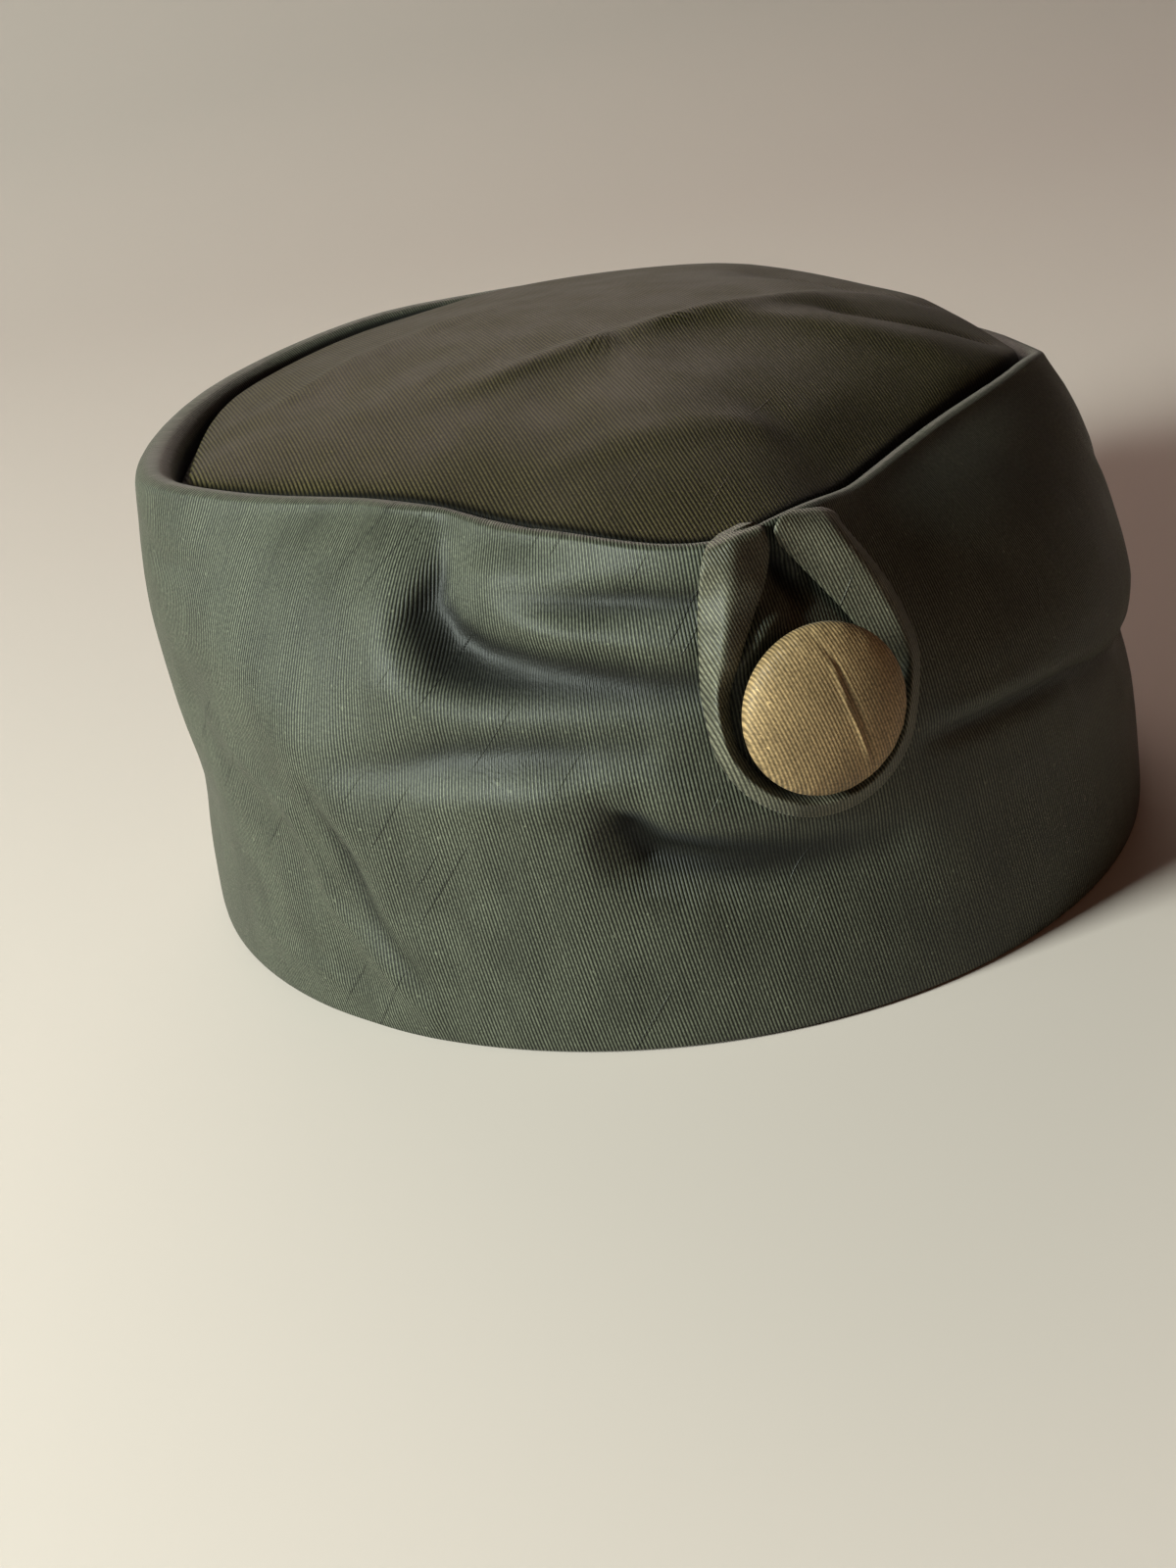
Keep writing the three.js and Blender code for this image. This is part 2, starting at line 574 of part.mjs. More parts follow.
// Loop
function makeLoop() {
  const line = new THREE.CatmullRomCurve3(LOOP_PATH.map((row) => {
    const tall = row.up > 0 ? LOOP_DROP : RING_RADIUS;
    return new THREE.Vector3(row.across * RING_RADIUS, row.up * tall, 0);
  }));
  const size = new THREE.CatmullRomCurve3(LOOP_PATH.map((row) => new THREE.Vector3(
    mix(LOOP_THICK, LOOP_WIDE, row.flat), mix(LOOP_DEEP, LOOP_FLAT, row.flat), 0)));
  const shares = spread(0, 1 + 1 / LOOP_STATIONS, LOOP_STATIONS + 1);
  const beds = shares.map((share) => loopBed(
    line.getPoint(share), line.getTangent(share), size.getPoint(share)));
  const cover = smoothCover(beds.map((bed) => bed.proud), 3);
  const rows = beds.map((bed, i) => loopSection(bed, cover[i]));
  return piece('ornament_loop', solidFromRows(rows, { loop: false }), satinLoop);
}

// Where one section of the loop sits: its foot on the plain wall, the ways across it and out of the
// wall, its width and depth, and how far the folded wall stands out under it.
function loopBed(place, heading, size) {
  const aside = BUTTON_ASIDE + place.x;
  const climb = BUTTON_CLIMB + place.y;
  const foot = skin(aside, climb, false);
  const normal = skinNormal(aside, climb, 1.5);
  const side = new THREE.Vector2(heading.y, -heading.x).normalize();
  const across = skin(aside + side.x, climb + side.y, false).sub(skin(aside - side.x, climb - side.y, false));
  across.addScaledVector(normal, -across.dot(normal)).normalize();
  const places = [-0.5, -0.375, -0.25, -0.125, 0, 0.125, 0.25, 0.375, 0.5].map(
    (reach) => [aside + side.x * reach * size.x, climb + side.y * reach * size.x]);
  return { foot, normal, across, size, proud: proudOf(foot, normal, places) };
}

function loopSection(bed, proud) {
  const middle = bed.foot.clone().addScaledVector(bed.normal, proud + GAP + bed.size.y / 2);
  return spread(0, 2 * Math.PI, LOOP_SIDES).map((angle) => middle.clone()
    .addScaledVector(bed.across, Math.cos(angle) * bed.size.x * 0.5)
    .addScaledVector(bed.normal, Math.sin(angle) * bed.size.y * 0.5));
}

// Covered button
function makeButton() {
  const half = BUTTON_WIDTH / 2;
  const outline = [new THREE.Vector2(0, 0), new THREE.Vector2(half * 0.9, 0)];
  outline.push(new THREE.Vector2(half, BUTTON_EDGE * 0.55), new THREE.Vector2(half, BUTTON_EDGE));
  for (const share of [0.25, 0.5, 0.75]) {
    const angle = share * Math.PI / 2;
    const rise = BUTTON_EDGE + BUTTON_DOME * Math.sin(angle);
    outline.push(new THREE.Vector2(half * Math.cos(angle), rise));
  }
  outline.push(new THREE.Vector2(0, BUTTON_EDGE + BUTTON_DOME));
  const button = piece('button', new THREE.LatheGeometry(outline, 28), bronzeSatin);
  button.quaternion.setFromUnitVectors(new THREE.Vector3(0, 1, 0), BUTTON_AXIS);
  button.position.copy(BUTTON_SPOT).addScaledVector(BUTTON_AXIS, BUTTON_LIFT);
  return button;
}

// Shank that carries the button on the band
function makeShank() {
  const radius = SHANK_WIDTH / 2;
  const places = spread(0, 2 * Math.PI, 12).map((angle) => [
    BUTTON_ASIDE + radius * Math.cos(angle), BUTTON_CLIMB + radius * Math.sin(angle)]);
  const from = proudOf(BUTTON_SPOT, BUTTON_AXIS, places) + GAP;
  const to = BUTTON_LIFT - GAP;
  const shank = piece('button_shank', new THREE.CylinderGeometry(radius, radius, to - from, 16), satin);
  shank.quaternion.setFromUnitVectors(new THREE.Vector3(0, 1, 0), BUTTON_AXIS);
  shank.position.copy(BUTTON_SPOT).addScaledVector(BUTTON_AXIS, (from + to) / 2);
  return shank;
}

const hat = new THREE.Group();
hat.name = 'draped_hat';
hat.add(makeBand(), makeTip(), makeLoop(), makeButton(), makeShank());

// The origin is the middle of the space that the hat takes up, on the surface that it stands on.
const space = new THREE.Box3().setFromObject(hat, true);
hat.position.set(-(space.min.x + space.max.x) / 2, -(space.min.y + space.max.y) / 2, 0);

export default hat;
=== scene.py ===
# %% [markdown]
# # A draped pillbox hat in olive satin twill
# The frame gives the hat's solid pieces: the side band, the crown tip, the loop, the button and its
# shank. This lesson turns them into cloth. Each piece starts as a copy of its solid, is smoothed
# into soft cloth, gets the small folds that stiff satin keeps, and is covered in a ribbed weave.
# Metres, the front towards -Y, the wearer's left towards +X.

import math

import bmesh
import bpy
import numpy as np
from mathutils import Matrix, Vector
from mathutils.bvhtree import BVHTree


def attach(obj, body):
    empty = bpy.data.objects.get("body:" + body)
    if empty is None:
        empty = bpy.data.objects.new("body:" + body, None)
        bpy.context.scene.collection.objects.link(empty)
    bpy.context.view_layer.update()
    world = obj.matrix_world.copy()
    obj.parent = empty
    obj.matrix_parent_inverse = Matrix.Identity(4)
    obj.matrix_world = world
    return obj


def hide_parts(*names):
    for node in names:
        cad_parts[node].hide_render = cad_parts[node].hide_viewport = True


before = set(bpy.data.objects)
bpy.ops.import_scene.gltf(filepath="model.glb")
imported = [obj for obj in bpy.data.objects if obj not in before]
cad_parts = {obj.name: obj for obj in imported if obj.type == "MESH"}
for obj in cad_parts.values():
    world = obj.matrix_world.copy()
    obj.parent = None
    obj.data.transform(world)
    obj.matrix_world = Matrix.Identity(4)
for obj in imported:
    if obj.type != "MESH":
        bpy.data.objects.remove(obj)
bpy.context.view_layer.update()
MM = 0.001

# %% [markdown]
# ## Sizes
# A few sizes serve the whole lesson: how far the hem reaches from the hat's middle, how high the
# wall climbs to the seam, and how far apart the ribs lie. They could be measured on the solids each
# time, but named once they can be read and changed in one place. The middle lies a little behind
# the box's middle, because the button stands out in front. Turns are counted from the front
# towards the wearer's left, a rise goes up from the hem, and colours are linear.

# %% Sizes of the hat
MIDDLE = Vector((0.00058, 0.00582, 0.0))
HEM_REACH = 0.1175
WALL_HEIGHT = 0.107
RIB = 0.00080
TIP_RIB = 0.00085
FINE_RIB = 0.00074
SATIN_OLIVE = (0.053, 0.056, 0.039)
# The crown tip's satin is the band's, darker and browner: painted shade on the hat's top
SATIN_PAINTED_SHADE_TIP = (0.034, 0.028, 0.012)
# The loop's satin is the band's, lighter: painted light on the loop, which stands out into the light
SATIN_PAINTED_LIGHT_LOOP = (0.088, 0.084, 0.058)
SATIN_GOLD = (0.255, 0.172, 0.084)
print("wall", round(WALL_HEIGHT / MM), "mm to the seam, ribs", round(RIB / MM, 2), "mm apart")


# %% [markdown]
# ## Camera
# The photograph looks down on the hat from a little to its right, with a long lens held slightly
# out of level, so the camera is turned about its own line of sight as well. A tracking constraint
# could aim it, but would always hold it level, so its axes are worked out from three angles.

# %% Camera
def place_camera(place, azimuth, elevation, roll, lens):
    """Looks back at the hat from a place, at an azimuth and elevation, then rolls about its view."""
    a, e = math.radians(azimuth), math.radians(elevation)
    back = Vector((math.sin(a) * math.cos(e), -math.cos(a) * math.cos(e), math.sin(e)))
    right = Vector((math.cos(a), math.sin(a), 0.0))
    up = back.cross(right)
    r = math.radians(roll)
    across = right * math.cos(r) + up * math.sin(r)
    upward = up * math.cos(r) - right * math.sin(r)
    data = bpy.data.cameras.new("camera")
    data.lens = lens
    data.sensor_width = 36.0
    data.clip_start = 0.01
    camera = bpy.data.objects.new("camera", data)
    turned = Matrix((across, upward, back)).transposed().to_4x4()
    camera.matrix_world = Matrix.Translation(place) @ turned
    bpy.context.scene.collection.objects.link(camera)
    bpy.context.scene.camera = camera
    return camera


CAMERA_PLACE = Vector((-0.14272, -0.52088, 0.2692))
AZIMUTH, ELEVATION, ROLL = -13.0, 25.5, -8.4
LENS = 54.0
camera = place_camera(CAMERA_PLACE, AZIMUTH, ELEVATION, ROLL, LENS)
print("camera at", [round(v, 3) for v in camera.location])


# %% [markdown]
# ## Weave
# The cloth is a satin twill: fine upright ribs with a silky face, thicker threads here and there,
# and light specks of lint. One node group makes all of it from a map in metres, where X runs
# across the ribs and Y along them, so every piece shares the same weave at its real size. Threads
# could be modelled one by one, but there are thousands and each is thinner than a millimetre.
# Deep in the folds and along the seam the colour is darkened as painted shade, which the group
# reads from a "hollow" value kept on the corners of the band and the tip. The other pieces have none.

# %% Node helpers
def node(tree, kind, **settings):
    made = tree.nodes.new(kind)
    for name, value in settings.items():
        setattr(made, name, value)
    return made


def maths(tree, operation, first, second=None):
    """A Math node; a number goes into its socket, a socket is linked."""
    made = node(tree, "ShaderNodeMath", operation=operation)
    for socket, value in zip(made.inputs, (first, second)):
        if value is None:
            continue
        if isinstance(value, (int, float)):
            socket.default_value = value
        else:
            tree.links.new(value, socket)
    return made.outputs[0]


def ranged(tree, value, low, high, to_low, to_high):
    made = node(tree, "ShaderNodeMapRange", interpolation_type="SMOOTHSTEP")
    tree.links.new(value, made.inputs["Value"])
    for name, number in (("From Min", low), ("From Max", high), ("To Min", to_low), ("To Max", to_high)):
        made.inputs[name].default_value = number
    return made.outputs["Result"]


def noise(tree, where, size, detail, stretch=(1.0, 1.0), turned=0.0):
    """Noise whose grains measure about size metres, longer along an axis with a small stretch."""
    if turned:
        turn = node(tree, "ShaderNodeMapping")
        turn.inputs["Rotation"].default_value = (0.0, 0.0, math.radians(turned))
        tree.links.new(where, turn.inputs["Vector"])
        where = turn.outputs[0]
    mapping = node(tree, "ShaderNodeMapping")
    mapping.inputs["Scale"].default_value = (stretch[0] / size, stretch[1] / size, 1.0 / size)
    tree.links.new(where, mapping.inputs["Vector"])
    made = node(tree, "ShaderNodeTexNoise", noise_dimensions="3D")
    made.inputs["Scale"].default_value = 1.0
    made.inputs["Detail"].default_value = detail
    tree.links.new(mapping.outputs[0], made.inputs["Vector"])
    return made.outputs["Fac"]


# %% Weave group
# Grains in metres. Steps and shades: noise from the first value to the second becomes the third
# to the fourth.
WANDER_GRAIN, WANDER_REACH = 0.006, 0.0004
STITCH_GRAIN, STREAK_GRAIN, SLUB_GRAIN = 0.0007, 0.0016, 0.0011
CLOUD_GRAIN, LINT_GRAIN = 0.016, 0.0014
SLUB_TURN = -48.0
RIB_STEP = (-0.8, 0.8, 0.0, 1.0)
SLUB_STEP = (0.775, 0.83, 0.0, 1.0)
LINT_STEP = (0.815, 0.85, 0.0, 1.0)
STREAK_SHADE = (0.25, 0.75, 0.92, 1.08)
CLOUD_SHADE = (0.34, 0.66, 0.88, 1.14)
STITCH_SHADE = (0.30, 0.70, 0.74, 1.26)
# Painted shade: the colour stays whole where the "hollow" value is 0 and falls to 0.12 where it is 1
HOLLOW_SHADE = (0.0, 1.0, 1.0, 0.12)
CLOUD_ROUGHNESS = (0.30, 0.70, 0.46, 0.56)


def make_weave_group():
    """The weave: takes a colour and how strongly the ribs show, gives colour, roughness and height."""
    tree = bpy.data.node_groups.new("satin_twill", "ShaderNodeTree")
    tree.interface.new_socket("Colour", in_out="INPUT", socket_type="NodeSocketColor")
    tree.interface.new_socket("Contrast", in_out="INPUT", socket_type="NodeSocketFloat")
    tree.interface.new_socket("Colour", in_out="OUTPUT", socket_type="NodeSocketColor")
    tree.interface.new_socket("Roughness", in_out="OUTPUT", socket_type="NodeSocketFloat")
    tree.interface.new_socket("Height", in_out="OUTPUT", socket_type="NodeSocketFloat")
    inside = node(tree, "NodeGroupInput")
    outside = node(tree, "NodeGroupOutput")
    weave = node(tree, "ShaderNodeUVMap", uv_map="weave").outputs[0]

    # Ribs, wandering a little and of uneven strength
    wander = noise(tree, weave, WANDER_GRAIN, 2.0, (1.0, 0.25))
    parts = node(tree, "ShaderNodeSeparateXYZ")
    tree.links.new(weave, parts.inputs[0])
    bent = maths(tree, "ADD", parts.outputs["X"], maths(tree, "MULTIPLY", wander, WANDER_REACH))
    wave = maths(tree, "SINE", maths(tree, "MULTIPLY", bent, 2.0 * math.pi / RIB))
    rib = ranged(tree, wave, *RIB_STEP)
    stitches = noise(tree, weave, STITCH_GRAIN, 1.0)

    # Threads thicker than their neighbours, along the ribs and across them
    streak = noise(tree, weave, STREAK_GRAIN, 1.0, (1.0, 0.05))
    slub = noise(tree, weave, SLUB_GRAIN, 0.0, (0.026, 1.0), turned=SLUB_TURN)
    slub_line = ranged(tree, slub, *SLUB_STEP)
    cloud = noise(tree, weave, CLOUD_GRAIN, 8.0)
    speck = noise(tree, weave, LINT_GRAIN, 0.0)
    lint = ranged(tree, speck, *LINT_STEP)

    shade = maths(tree, "MULTIPLY", maths(tree, "SUBTRACT", maths(tree, "MULTIPLY", rib, 1.40), 0.70),
                  inside.outputs["Contrast"])
    shade = maths(tree, "ADD", shade, 0.80)
    shade = maths(tree, "MULTIPLY", shade, ranged(tree, streak, *STREAK_SHADE))
    shade = maths(tree, "MULTIPLY", shade, ranged(tree, cloud, *CLOUD_SHADE))
    shade = maths(tree, "MULTIPLY", shade, ranged(tree, stitches, *STITCH_SHADE))
    shade = maths(tree, "SUBTRACT", shade, maths(tree, "MULTIPLY", slub_line, 0.30))
    shade = maths(tree, "ADD", shade, maths(tree, "MULTIPLY", lint, 0.9))
    # Painted shade in deep folds and along the seam, read from the "hollow" value
    hollow = node(tree, "ShaderNodeAttribute", attribute_name="hollow").outputs["Fac"]
    shade = maths(tree, "MULTIPLY", shade, ranged(tree, hollow, *HOLLOW_SHADE))
    coloured = node(tree, "ShaderNodeVectorMath", operation="SCALE")
    tree.links.new(inside.outputs["Colour"], coloured.inputs[0])
    tree.links.new(shade, coloured.inputs["Scale"])
    tree.links.new(coloured.outputs[0], outside.inputs["Colour"])
    tree.links.new(ranged(tree, cloud, *CLOUD_ROUGHNESS), outside.inputs["Roughness"])

    height = maths(tree, "ADD", rib, maths(tree, "MULTIPLY", stitches, 0.7))
    height = maths(tree, "ADD", height, maths(tree, "MULTIPLY", slub_line, 1.4))
    height = maths(tree, "ADD", height, maths(tree, "MULTIPLY", cloud, 1.5))
    tree.links.new(height, outside.inputs["Height"])
    return tree


WEAVE = make_weave_group()


def satin(name, colour, gloss=0.24, contrast=1.0, rib_depth=0.00013):
    """A satin twill cloth: the weave gives its colour, gloss and relief, and fine fibres its sheen."""
    material = bpy.data.materials.new(name)
    material.use_nodes = True
    tree = material.node_tree
    shader = tree.nodes["Principled BSDF"]
    group = node(tree, "ShaderNodeGroup", node_tree=WEAVE)
    group.inputs["Colour"].default_value = (*colour, 1.0)
    group.inputs["Contrast"].default_value = contrast
    tree.links.new(group.outputs["Colour"], shader.inputs["Base Color"])
    tree.links.new(group.outputs["Roughness"], shader.inputs["Roughness"])
    bump = node(tree, "ShaderNodeBump")
    bump.inputs["Strength"].default_value = 0.8
    bump.inputs["Distance"].default_value = rib_depth
    tree.links.new(group.outputs["Height"], bump.inputs["Height"])
    tree.links.new(bump.outputs[0], shader.inputs["Normal"])
    shader.inputs["Sheen Weight"].default_value = gloss * 0.15
    shader.inputs["Sheen Roughness"].default_value = 0.40
    shader.inputs["Specular IOR Level"].default_value = gloss
    return material


band_cloth = satin("band_cloth", SATIN_OLIVE)
# The tip's cloth is the band's satin made darker, as painted shade
tip_cloth = satin("tip_cloth", SATIN_PAINTED_SHADE_TIP, 0.07)
# The loop's cloth is the band's satin made lighter, as painted light
loop_cloth = satin("loop_cloth", SATIN_PAINTED_LIGHT_LOOP, contrast=0.75)
button_cloth = satin("button_cloth", SATIN_GOLD, 0.20, 0.45, 0.00007)
print("cloths:", [m.name for m in bpy.data.materials])


# %% [markdown]
# ## From solid to cloth
# A solid's copy has its doubled corners merged and its triangles paired into quads. Then the quads
# are divided and eased, twice for the large pieces, which rounds the solid's coarse steps into a
# soft surface. A subdivision modifier would round them too, but the folds that follow need real
# corners to push.

# %% Copy and soften
SAME_PLACE = 0.00002
ALL_AXES = {"use_axis_x": True, "use_axis_y": True, "use_axis_z": True}


def soft_copy(source, name, levels):
    """A smooth quad mesh made from a CAD node, as a bmesh."""
    bm = bmesh.new()
    bm.from_mesh(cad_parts[source].data)
    bmesh.ops.remove_doubles(bm, verts=bm.verts, dist=SAME_PLACE)
    bmesh.ops.join_triangles(bm, faces=bm.faces, angle_face_threshold=1.0, angle_shape_threshold=2.0)
    bmesh.ops.recalc_face_normals(bm, faces=bm.faces)
    for _ in range(levels):
        bmesh.ops.subdivide_edges(bm, edges=bm.edges, cuts=1, use_grid_fill=True, smooth=0.0)
        bmesh.ops.smooth_vert(bm, verts=bm.verts, factor=0.5, **ALL_AXES)
    return bm


def finish_piece(bm, name, material, replaced):
    """Turns a bmesh into a smooth shown piece that rides with the hat in place of its CAD node."""
    mesh = bpy.data.meshes.new(name)
    bm.to_mesh(mesh)
    bm.free()
    for polygon in mesh.polygons:
        polygon.use_smooth = True
    mesh.materials.append(material)
    piece = bpy.data.objects.new(name, mesh)
    bpy.context.scene.collection.objects.link(piece)
    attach(piece, "root")
    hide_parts(replaced)
    print(name, len(mesh.polygons), "faces")
    return piece


# %% [markdown]
# ## Folds
# Stiff satin bends in sharp-cored dents with a lifted lip beside them. Each fold is a line through
# the places in its row of points, and pushes the cloth in or out: most on the line, and nothing
# at about twice its width away. They could be sculpted or left to a cloth simulation, but a table
# puts each one where the photograph shows it. All folds of one cloth are given in one table.

# %% Folds as lines
def fold_push(x, y, points):
    """How far one fold moves the cloth at places x, y. points: (x, y, width, depth) along its line."""
    nearest = np.full(len(x), np.inf)
    push = np.zeros(len(x))
    for (x1, y1, w1, d1), (x2, y2, w2, d2) in zip(points, points[1:]):
        dx, dy = x2 - x1, y2 - y1
        along = np.clip(((x - x1) * dx + (y - y1) * dy) / (dx * dx + dy * dy), 0.0, 1.0)
        away = np.hypot(x - x1 - dx * along, y - y1 - dy * along) / (w1 + (w2 - w1) * along)
        closer = away < nearest
        nearest[closer] = away[closer]
        push[closer] = ((d1 + (d2 - d1) * along) * np.exp(-away ** 2))[closer]
    return push


# Each point: turn in degrees, rise as a share of the wall, width and depth in millimetres.
BAND_FOLDS = {
    "upper dent": [(-41.5, .97, 3.6, -1.2), (-43, .88, 5.0, -4.4), (-39.5, .82, 5.6, -5.2),
                   (-35, .795, 5.6, -4.4), (-28, .785, 5.6, -3.4), (-19, .775, 5.2, -3.0),
                   (-11, .765, 4.8, -2.4)],
    "upper lip": [(-31, .87, 2.6, 0.3), (-24, .86, 2.6, 1.2), (-12, .84, 2.6, 1.3)],
    "upper valley": [(-32, .93, 2.4, -0.8), (-24, .92, 3.0, -2.2), (-16.5, .925, 3.0, -2.8),
                     (-10, .92, 2.8, -2.2)],
    "belt valley": [(-56, .58, 4.5, -0.4), (-46, .61, 5.0, -1.4), (-39, .637, 5.0, -2.2),
                    (-27, .647, 5.0, -2.2), (-18, .65, 5.0, -1.2)],
    "belt ridge": [(-42, .54, 4.0, 0.5), (-36, .554, 5.0, 0.9), (-21, .576, 4.6, 1.0)],
    "lower dent": [(-21.5, .53, 2.8, -1.2), (-20, .49, 4.2, -4.0), (-17.5, .425, 5.6, -4.6),
                   (-11, .395, 6.2, -4.0), (-3.5, .375, 6.4, -3.0), (6.6, .36, 6.2, -1.6)],
    "lower ridge": [(-17, .60, 3.0, 0.5), (-11, .525, 3.0, 1.0), (-4, .485, 3.2, 0.9)],
    "lower lip": [(-25, .46, 3.4, 0.7), (-22.5, .37, 3.6, 0.9), (-14, .30, 4.0, 0.8)],
    "loop crease": [(13, .54, 2.2, -0.8), (17, .535, 2.6, -1.8), (25, .527, 2.8, -2.2),
                    (37, .503, 2.8, -2.2), (52, .432, 3.0, -1.8), (64, .39, 3.0, -0.9)],
    "crease lip": [(17, .575, 2.8, 0.6), (25, .565, 3.0, 1.0), (37, .542, 3.0, 1.0), (52, .47, 3.2, 0.9)],
    "hollow": [(-1.5, .985, 2.2, -1.5), (-1, .94, 3.2, -3.4), (0, .895, 3.0, -2.6)],
    "hollow bump": [(0.3, .965, 1.5, 1.4), (0.9, .935, 1.5, 1.4)],
    "pushed up": [(-1.8, .880, 2.2, 2.2), (-5.0, .855, 2.4, 3.2), (-7.4, .80, 2.0, 2.2)],
    "slant ridge": [(-79, .59, 3.0, 0.6), (-62, .46, 3.0, 1.4), (-57, .265, 3.0, 1.5),
                    (-50.5, .16, 3.0, 1.2), (-45, .06, 3.0, 0.6)],
    "slant wedge": [(-58, .53, 2.6, -0.8), (-53.5, .40, 3.0, -2.0), (-50.5, .26, 3.0, -1.8),
                    (-45, .13, 2.6, -0.8)],
    "hem ridge": [(-73, .13, 3.0, 0.5), (-60, .09, 3.0, 0.7), (-50, .05, 3.0, 0.5)],
    "corner crease": [(-96, .93, 3.0, -0.4), (-88, .89, 3.0, -0.8), (-80, .90, 3.0, -0.4)],
    "left panel": [(70, .80, 4.0, -0.3), (78, .66, 4.0, -0.9), (84, .56, 4.0, -0.4)],
}

# Each point: forward and aside of the middle, width and depth, all in millimetres.
TIP_FOLDS = {
    "left wrinkle": [(-28, -74, 3.0, 0.7), (-50, -34, 3.0, 1.3), (-58, -8, 3.0, 0.6)],
    "middle wrinkle": [(14, -34, 4.0, 0.6), (10, -6, 4.0, 1.2), (2, 26, 4.0, 1.2), (-8, 54, 4.0, 0.8)],
    "corner valley": [(-50, 62, 3.0, -0.8), (-16, 84, 3.0, -1.6)],
    "side valley": [(2, 56, 3.0, -0.8), (14, 86, 3.0, -1.6)],
    "front wrinkle": [(62, -30, 5.0, 0.5), (66, 10, 5.0, 0.9)],
}


def points_of(bm):
    return np.array([v.co for v in bm.verts], float)


def normals_of(bm):
    bm.normal_update()
    return np.array([v.normal for v in bm.verts], float)


def put_points(bm, places):
    for vert, place in zip(bm.verts, places):
        vert.co = place


def mark_painted_shade(bm, hollow):
    """Keeps how deep each corner lies in a fold or near the seam, from 0 to 1, for painted shade."""
    layer = bm.verts.layers.float.new("hollow")
    for vert, depth in zip(bm.verts, hollow):
        vert[layer] = depth


def tree_of(vertices, polygons):
    return BVHTree.FromPolygons([v.co for v in vertices], [p.vertices[:] for p in polygons])


def turn_of(places):
    """Degrees from the front towards the wearer's left."""
    return np.degrees(np.arctan2(places[:, 0] - MIDDLE.x, -(places[:, 1] - MIDDLE.y)))


# %% [markdown]
# ## Side band
# One deep strip of satin on a stiff backing, cut a little off the straight, so that its ribs lean
# at the hem and stand upright at the rim. The folds are pressed into both faces of the cloth at
# once, so that its thickness stays the same. Its dark seam could be a strip of its own, but on
# the real hat it is only the shadow where the two cloths meet, so the colour darkens there.

# %% Side band
FOLDS_END, FOLDS_FADE = 1.02, 0.06
# Fold depth that gets full painted shade; how far the painted seam shadow reaches, and its fade
FOLD_DEPTH_OF_FULL_SHADE = 3.2 * MM
SEAM_SHADOW_REACH, SEAM_SHADOW_FADE = 3.0 * MM, 1.4 * MM
band = soft_copy("side_band", "band", 2)
places = points_of(band)
turn = turn_of(places)
rise = places[:, 2] / WALL_HEIGHT
reach = np.hypot(places[:, 0] - MIDDLE.x, places[:, 1] - MIDDLE.y)
outward = np.stack([(places[:, 0] - MIDDLE.x) / reach, (places[:, 1] - MIDDLE.y) / reach, 0 * reach], 1)
arc = np.radians(turn) * HEM_REACH
push = np.zeros(len(places))
for points in BAND_FOLDS.values():
    push += fold_push(arc, places[:, 2], [
        (math.radians(t) * HEM_REACH, r * WALL_HEIGHT, w * MM, d * MM) for t, r, w, d in points])
on_wall = np.clip((FOLDS_END - rise) / FOLDS_FADE, 0.0, 1.0)
put_points(band, places + outward * (push * on_wall)[:, None])
tip_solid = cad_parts["crown_tip"].data
tip_tree = tree_of(tip_solid.vertices, tip_solid.polygons)
from_tip = np.array([tip_tree.find_nearest(v.co)[3] for v in band.verts])
# Painted shade on the band: darkest in deep folds and along the seam to the tip
painted_seam_shadow = np.clip((SEAM_SHADOW_REACH - from_tip) / SEAM_SHADOW_FADE, 0.0, 1.0)
mark_painted_shade(band, np.maximum(np.clip(-push * on_wall / FOLD_DEPTH_OF_FULL_SHADE, 0.0, 1.0), painted_seam_shadow))


def lay_weave(bm, along_across, pitch=RIB):
    """Lays the weave's map on every face corner: X across the ribs, Y along them, in metres."""
    layer = bm.loops.layers.uv.new("weave")
    finer = RIB / pitch
    for face in bm.faces:
        middle = face.calc_center_median()
        for corner in face.loops:
            across, along = along_across(corner.vert.co, middle)
            corner[layer].uv = (across * finer, along * finer)


RIB_LEAN = 0.22
LEAN_DIES_AT = 0.070


def band_weave(place, middle):
    here = math.atan2(place.x - MIDDLE.x, -(place.y - MIDDLE.y))
    there = math.atan2(middle.x - MIDDLE.x, -(middle.y - MIDDLE.y))
    if abs(here - there) > math.pi:
        here += math.copysign(2.0 * math.pi, there)
    return here * HEM_REACH + RIB_LEAN * LEAN_DIES_AT * math.tanh(place.z / LEAN_DIES_AT), place.z


lay_weave(band, band_weave)
band_piece = finish_piece(band, "band", band_cloth, "side_band")


# %% [markdown]
# ## Crown tip
# The tip is cut with its ribs from front to back and let into the rim. It is held only by its
# seam, so it rises in soft ridges between the corners. Its folds could push along its normals, but
# it lies nearly level, so they simply lift it or let it sink.

# %% Crown tip
# How far the painted seam shadow reaches onto the tip, and its fade
TIP_SEAM_SHADOW_REACH, TIP_SEAM_SHADOW_FADE = 3.8 * MM, 2.2 * MM
tip = soft_copy("crown_tip", "tip", 2)
places = points_of(tip)
forward = -(places[:, 1] - MIDDLE.y)
aside = places[:, 0] - MIDDLE.x
push = np.zeros(len(places))
for points in TIP_FOLDS.values():
    push += fold_push(forward, aside, [(f * MM, a * MM, w * MM, d * MM) for f, a, w, d in points])
lift = np.stack([0 * push, 0 * push, push], 1)
put_points(tip, places + lift)
band_tree = tree_of(band_piece.data.vertices, band_piece.data.polygons)
from_band = np.array([band_tree.find_nearest(v.co)[3] for v in tip.verts])
# Painted shadow on the tip along its seam to the band
mark_painted_shade(tip, np.clip((TIP_SEAM_SHADOW_REACH - from_band) / TIP_SEAM_SHADOW_FADE, 0.0, 1.0))
lay_weave(tip, lambda place, middle: (place.x, place.y), TIP_RIB)
tip_piece = finish_piece(tip, "tip", tip_cloth, "crown_tip")


